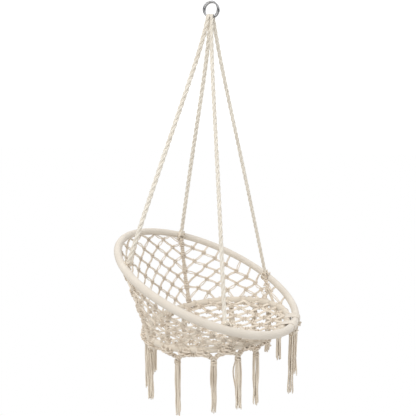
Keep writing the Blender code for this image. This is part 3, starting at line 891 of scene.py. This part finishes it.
def side_strands(side):
    """The side net's strands, as (stops, lean): four that go down forwards from the back column's
    joints, and those that go down backwards from the upper ring."""
    tie = ROPE_TIE["back"]
    for row in range(SIDE_ROWS):
        stops = [(column_angle(side, COLUMN_JOINTS[row]), COLUMN_JOINTS[row], "column")]
        for column in range(1, SIDE_COLUMNS + 1):
            angle, share = side_knot(row, column)
            if share > LOWEST_KNOT:
                break
            stops.append((side * angle, share, "knot"))
        if row == 0:
            stops += [(side * 115.0, 0.60, "knot"), (side * 119.0, 0.80, "knot"), (side * 122.5, 1.0, "seat")]
        else:
            stops.append((stops[-1][0] + side * 4.5, 1.0, "seat"))
        yield stops, side
    for column in range(1, SIDE_COLUMNS + 1):
        stops = [(side * (tie + SIDE_STEP * (column + 0.6)), 0.0, "ring")]
        for row in range(SIDE_ROWS):
            if column - row < 1:
                stops.append((column_angle(side, COLUMN_JOINTS[row]), COLUMN_JOINTS[row], "column"))
                break
            angle, share = side_knot(row, column - row)
            if share > LOWEST_KNOT:
                stops.append((side * (angle + 2.0), 1.0, "seat"))
                break
            stops.append((side * angle, share, "knot"))
        else:
            if column == 4:
                stops.append((column_angle(side, COLUMN_JOINTS[4]), COLUMN_JOINTS[4], "column"))
            else:
                stops.append((stops[-1][0] - side * 5.0, 1.0, "seat"))
        yield stops, -side
    yield [(side * 122.0, 0.36, "column"), (side * 115.0, 0.60, "knot"), (side * 107.5, 0.86, "knot"),
           (side * 104.0, 1.0, "seat")], -side
    yield [(side * 131.0, 0.0, "ring"), (side * 125.0, 0.50, "knot"), (side * 119.0, 0.80, "knot"),
           (side * 115.0, 1.0, "seat")], -side
    yield [(side * 121.0, 0.30, "column"), (side * 125.0, 0.50, "knot"), (side * 139.5, 0.80, "knot"),
           (side * 147.0, 1.0, "seat")], side
    yield [(side * 144.0, 0.0, "ring"), (side * 139.5, 0.80, "knot"), (side * 134.0, 1.0, "seat")], -side


def bucket_net(material):
    """Every strand of the bucket net. Where two cross, the one that goes down forwards, or to the
    sitter's left at the back, carries the knot."""
    for lean in (1, -1):
        for number, stops in enumerate(back_strands(lean)):
            name = f"net_back_strand_{'left' if lean > 0 else 'right'}_{number}"
            middle = (stops[0][0] + stops[-1][0]) / 2.0
            nodes = [f"net_back_{'left' if middle >= 0 else 'right'}"]
            net_strand(name, stops, float(lean), material, nodes, lean > 0)
    for word, side in SIDES:
        for number, (stops, lean) in enumerate(side_strands(side)):
            name = f"net_side_strand_{word}_{number}"
            part = "side" if abs(stops[0][0]) < 120.5 else "front"
            forwards = lean * side > 0
            net_strand(name, stops, lean, material, [f"net_{part}_{word}"], forwards or number >= 12)


def columns(material):
    """The knotted columns under the four ties. Each starts inside the net, by the square of what is
    left of its way down, and a front column forks half way down."""
    for word, side in SIDES:
        for end, foot in COLUMN_FOOT.items():
            share = np.linspace(0.03, foot, 30)
            shift = (COLUMN_IN * (1.0 - share) ** 2)[:, None] * inward(side * ROPE_TIE[end])
            path = bucket(column_angle(side, share, end), share) + shift
            out = bucket_frame(side * ROPE_TIE[end], 0.5)[3]
            piece = Piece(f"column_{end}_{word}_knots", material)
            sinnet(piece, path, out, COLUMN_WIDE, 10.0 * MM, COLUMN_CORD)
            joints = COLUMN_JOINTS if end == "back" else (0.3, foot)
            for joint in joints:
                spot = path[np.argmin(abs(share - joint))]
                frame_at = bucket_frame(column_angle(side, joint, end), joint)
                square_knot(piece, (spot + frame_at[3] * 1.0 * MM, *frame_at[1:]), 1.5, 2.8 * MM)
            if end == "front":
                fork = column_angle(1.0, foot, end)
                for angle in FORK_FEET:
                    t = np.linspace(0.0, 1.0, 20)
                    branch = bucket(side * blend_of(fork, angle, t), blend_of(foot, 0.96, t))
                    sinnet(piece, branch, out, 12.5 * MM, 8.0 * MM, 2.5 * MM)
            obj = piece.build()
            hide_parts(f"column_{end}_{word}")
            angle = side * ROPE_TIE[end]
            upper_point(angle)
            seat_point(angle)
            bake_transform(obj)


def ties(material):
    """The knots that hold each rope to the upper ring. They lie on the tube's inner side: a collar on
    the foot of the rope, and three bulky knots one below the other that follow the tube round."""
    for word, side in SIDES:
        for end in ("back", "front"):
            angle = side * ROPE_TIE[end]
            centre, along, inner = upper_point(angle), upper_tangent(angle), inward(angle)
            normal = np.cross(inner, along)
            normal = normal if normal[2] > 0.0 else -normal
            rope = rope_line(end)
            foot = rope[-1] if side > 0 else rope[0]
            pull = unit(rope[-12] - rope[-1]) if side > 0 else unit(rope[11] - rope[0])
            piece = Piece(f"hitch_{end}_{word}_knot", material)
            collar = ROPE_WIDE[end] / 2.0 + 1.6 * MM
            low = foot + pull * 4.0 * MM
            turns_round(piece, low, pull, along, collar, 2, 5.6 * MM, 2.7 * MM, 1.5 * MM)
            for turn, size in TIE_KNOTS:
                a = math.radians(turn)
                out = inner * math.cos(a) + normal * math.sin(a)
                up = normal * math.cos(a) - inner * math.sin(a)
                spot = centre + out * (UPPER_WRAP + 4.0 * MM)
                square_knot(piece, (spot, along, up, out), size, TIE_CORD)
                held = spot + np.linspace(-1.0, 1.0, 5)[:, None] * up * 10.0 * MM
                pair = np.stack([held + along * TIE_CORD, held - along * TIE_CORD])
                # the held cords under each knot get painted shade
                piece.tubes(pair, TIE_CORD, 6, along, pocket=0.3)
            place(piece.build(), "seat_frame", "cotton_knot", f"hitch_{end}_{word}")


def lashings(material, knots):
    """Cord wound round both rings at the front: half a circle round each tube, turn beside turn. Its
    ends are knotted underneath, over the front tassels."""
    for word, side in SIDES:
        upper = side * (180.0 - math.degrees(LASHING_AT / UPPER_RADIUS))
        lower = side * (180.0 - math.degrees(LASHING_AT / SEAT_RADIUS))
        a, b = upper_point(upper), seat_point(lower)
        along = upper_tangent(upper)
        axis = unit((a - b) - np.dot(a - b, along) * along)
        other = np.cross(along, axis)
        turn = np.linspace(0.0, TAU * LASHING_TURNS, LASHING_TURNS * 28 + 1)
        way = np.cos(turn)[:, None] * axis + np.sin(turn)[:, None] * other
        near = np.cos(turn)[:, None] > 0.0
        path = np.where(near, a + way * (UPPER_WRAP + 1.6 * MM), b + way * (SEAT_WRAP + 1.6 * MM))
        path = path + ((turn / TAU - LASHING_TURNS / 2.0) * LASHING_PITCH)[:, None] * along
        piece = Piece(f"lashing_{word}_turns", material)
        piece.tubes(path, LASHING_CORD, 6, along, tone=-0.2)
        place(piece.build(), "seat_frame", "cotton_wrap", f"lashing_{word}")
        piece = Piece(f"lashing_{word}_knots", knots)
        down, out = np.array([0.0, 0.0, -1.0]), -inward(upper)
        for step, turn, size in LASHING_KNOTS:
            t = math.radians(turn)
            way = out * math.cos(t) + down * math.sin(t)
            spot = a + along * step * MM + way * (UPPER_WRAP + 5.0 * MM)
            square_knot(piece, (spot, along, np.cross(way, along), way), size, 2.9 * MM)
        place(piece.build(), "seat_frame", "cotton_knot", f"lashing_{word}")


# ---------------------------------------------------------------- the seat net

def seat_net(material, cover):
    """The net across the seat ring: two families of strands on a diamond lattice, knotted where they
    cross, and hitched round the ring."""
    across, down = SEAT_PITCH
    piece = Piece("seat_net_cords", material)
    # the loops round the seat ring take its darker wrap, with its painted shade
    loops = Piece("seat_net_loops", cover)
    inner = SEAT_NET_RIM - 18.0 * MM
    rim = SEAT_RADIUS - SEAT_WRAP + 3.0 * MM
    row = np.arange(-14, 15)
    for lean in (1, -1):
        for offset in range(-14, 15):
            x, y = offset * 2.0 * across + lean * across * row, -down * row
            inside = np.hypot(x, y) < inner
            if not inside.any():
                continue
            spots = np.stack([x, y], axis=-1)[inside] + RNG.normal(0.0, 2.0 * MM, (inside.sum(), 2))
            way = np.array([lean * across, -down])
            ends = []
            for spot, sign in ((spots[0], -1.0), (spots[-1], 1.0)):
                far = np.roots([way @ way, 2.0 * sign * (spot @ way), spot @ spot - rim**2]).max()
                ends.append(spot + sign * far * way)
            stops = [(seat_frame_at(*ends[0]), "end"), *((seat_frame_at(*spot), "knot") for spot in spots),
                     (seat_frame_at(*ends[1]), "end")]
            strand(piece, stops, 1.5 * lean, SEAT_CORD, knots=lean > 0, size=1.3)
            for ex, ey in ends:
                angle = math.degrees(math.atan2(ex, ey))
                turns_round(loops, seat_point(angle), seat_tangent(angle), np.array([0.0, 0.0, 1.0]),
                            SEAT_WRAP + 0.6 * MM, 2, 4.0 * MM, 1.5 * MM)
    place(piece.build(), "seat", "cotton_net", "seat_net")
    place(loops.build(), "seat", "cotton_wrap")


# ---------------------------------------------------------------- the skirt and the tassels

def skirt_depth(angle, stops):
    """Depth below the seat ring's cover: deep at each tassel, and between two it rises by a power of
    a sine to the arch."""
    depth = np.full(np.shape(angle), SKIRT_ARCH)
    for a, b in zip(stops, stops[1:]):
        share = np.clip((angle - a) / (b - a), 0.0, 1.0)
        arch = np.sin(math.pi * share) ** 0.55
        depth = np.where((angle >= a) & (angle <= b), SKIRT_DROP + (SKIRT_ARCH - SKIRT_DROP) * arch, depth)
    return depth


def skirt(material):
    """Knotted bands that hang in scallops from tassel to tassel, and big knots on the ring above each.
    Towards the front the knots are smaller and lie further under the ring."""
    for word, side in SIDES:
        stops = [BACK_TASSEL[0], *(angle for angle, _ in SIDE_TASSELS[word]), SKIRT_END]
        piece = Piece(f"skirt_scallops_{word}", material)
        for a, b in zip(stops, stops[1:]):
            angle = np.linspace(a, b, 40)
            depth = skirt_depth(angle, stops)
            ring = seat_point(side * angle)
            out = unit(ring - SEAT_CENTRE)
            path = ring - np.array([0.0, 0.0, 1.0]) * (SEAT_WRAP + depth * 1.06 - 5.0 * MM)[:, None]
            sinnet(piece, path, out, SKIRT_WIDE, 10.0 * MM, SKIRT_CORD)
        for angle in stops[:-1]:
            for step in SKIRT_KNOTS:
                spot = side * (angle + step)
                if angle + step < 0.0:
                    continue
                ring = seat_point(spot)
                along, out = seat_tangent(spot), unit(ring - SEAT_CENTRE)
                under = 30.0 if angle + step > SKIRT_LOW_FROM else 0.0
                t = math.radians((12.0 if abs(step) > 6.0 else 34.0) + under)
                way = out * math.cos(t) - np.array([0.0, 0.0, math.sin(t)])
                low = ring + way * (SEAT_WRAP + (2.5 if under else 4.5) * MM)
                square_knot(piece, (low, along, np.cross(way, along), way), 1.4 if under else 1.85, 3.0 * MM)
        nodes = [f"skirt_back_{word}", f"skirt_front_{word}"]
        place(piece.build(), "seat", "cotton_net", *nodes)


def tassel(name, body, gather, length, material, wild):
    """A bundle of cords that hangs from a square knot. Each cord leaves the knot at its own
    distance from the middle, bows out by a sine of its share of the way down, drifts and waves a
    little, and ends at its own length. wild is how far the odd cord bows."""
    count = TASSEL_CORDS
    piece = Piece(f"{name}_cords", material)
    share = np.linspace(0.0, 1.0, 26)
    angle = TAU * (np.arange(count) * 0.381966 + RNG.uniform(0.0, 1.0))
    rank = np.sqrt((np.arange(count) + 0.5) / count)
    reach = length * (1.0 + RNG.uniform(-0.05, 0.05, count))
    bow = RNG.uniform(0.0, 0.6, count) + wild * 1.4 * (RNG.uniform(0.0, 1.0, count) > 0.75)
    belly = np.sin(math.pi * np.clip(share / 0.62, 0.0, 1.0)) ** 1.2
    opened = RNG.uniform(0.6, 1.5)
    open_out = 7.6 * (1.0 - 0.22 * share) + 7.5 * opened * bow[:, None] * belly
    radius = (2.6 + rank[:, None] * open_out) * MM
    astray = RNG.normal(0.0, 3.4 * MM, (count, 2)) + RNG.normal(0.0, 3.0 * MM, 2)
    drift = astray[:, None, :] * (share**1.6)[:, None]
    pace, start = RNG.uniform(8.0, 15.0, (count, 1, 2)), RNG.uniform(0.0, TAU, (count, 1, 2))
    wave = (1.2 * MM * share)[:, None] * np.sin(share[:, None] * pace + start)
    down = TASSEL_HEAD - share * (reach[:, None] + TASSEL_HEAD)
    x = gather[0] + radius * np.cos(angle)[:, None] + drift[..., 0] + wave[..., 0]
    y = gather[1] + radius * np.sin(angle)[:, None] + drift[..., 1] + wave[..., 1]
    paths = np.stack([x, y, gather[2] + down], axis=-1)
    taper = np.where(share > 0.97, 0.7, 1.0)
    tone = RNG.uniform(-0.5, 0.45, count)
    piece.tubes(paths, TASSEL_CORD * taper[None], 6, (1.0, 0.0, 0.0), tone=tone)
    up = np.array([0.0, 0.0, 1.0])
    out = unit((gather - SEAT_CENTRE) * (1.0, 1.0, 0.0))
    for way in (out, -out):
        across = np.cross(up, way)
        square_knot(piece, (gather + way * 4.0 * MM + up * 6.0 * MM, across, up, way), 1.25, 2.8 * MM)
    place(piece.build(), body, "cotton_tassel", name)


def tassels(material):
    """One tassel at the back, six on each side under the skirt, and one under each lashing."""
    drop = np.array([0.0, 0.0, SEAT_WRAP + SKIRT_DROP + 1.2 * MM + GATHER])
    tassel("tassel_back", "tassel_back", seat_point(0.0) - drop, BACK_TASSEL[1], material, 0.4)
    for word, side in SIDES:
        for number, (angle, length) in enumerate(SIDE_TASSELS[word], 1):
            name = f"tassel_{word}_{number}"
            tassel(name, name, seat_point(side * angle) - drop, length, material, 0.6)
        front = upper_point(side * (180.0 - math.degrees(LASHING_AT / UPPER_RADIUS)))
        low = np.array([0.0, 0.0, UPPER_WRAP + 10.8 * MM + GATHER])
        name = f"tassel_front_{word}"
        tassel(name, name, front - low, FRONT_TASSELS[word], material, 0.5)


# ---------------------------------------------------------------- the whole chair

look_from(CAMERA_PLACE, CAMERA_TURN, CAMERA_DROP, CAMERA_LENS)
bpy.context.scene.view_settings.view_transform = "Standard"
studio_room()
pale_floor()
area_light("key", (-2.6, 1.3, 1.5), 1.8, 36.0, (1.0, 0.99, 0.97))
area_light("fill", (-1.4, -2.4, 0.2), 2.4, 9.0, (0.97, 0.98, 1.0))

ROPE = cotton("cotton_rope", (0.86, 0.81, 0.72), (0.56, 0.47, 0.36), 90.0, 3.0, ply_shade=0.15)
NET = cotton("cotton_net", (0.86, 0.78, 0.67), (0.54, 0.43, 0.32))
SKIRT = cotton("cotton_skirt", (0.90, 0.82, 0.71), (0.60, 0.48, 0.36))
KNOT = cotton("cotton_knot", (0.86, 0.79, 0.68), (0.52, 0.41, 0.30))
TASSEL = cotton("cotton_tassel", (0.86, 0.775, 0.655), (0.42, 0.32, 0.22))
COVER = wound_cotton("cotton_wrap", (0.775, 0.72, 0.64), (0.56, 0.48, 0.39))
# a darker copy of the wrap for the seat ring: painted shade, as it lies in the upper ring's shade
SHADED_SEAT_COVER = wound_cotton("cotton_wrap_seat_shaded", (0.77, 0.70, 0.60), (0.55, 0.46, 0.36))
STEEL = bright_steel("polished_steel", (0.52, 0.52, 0.53), 0.07)
TUBE = bright_steel("steel_tube", (0.62, 0.60, 0.57), 0.4)

ropes(ROPE)
steel_rings(STEEL)
wound_ring("upper_ring", COVER, UPPER_RADIUS, UPPER_CENTRE, UPPER_TILT, UPPER_WRAP, "seat_frame")
wound_ring("seat_ring", SHADED_SEAT_COVER, SEAT_RADIUS, SEAT_CENTRE, SEAT_TILT, SEAT_WRAP, "seat")
ties(KNOT)
columns(NET)
bucket_net(NET)
lashings(COVER, KNOT)
seat_net(NET, SHADED_SEAT_COVER)
skirt(SKIRT)
tassels(TASSEL)
for name in ("upper_ring_tube", "seat_ring_tube"):
    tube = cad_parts[name]
    tube.data.materials.clear()
    tube.data.materials.append(TUBE)
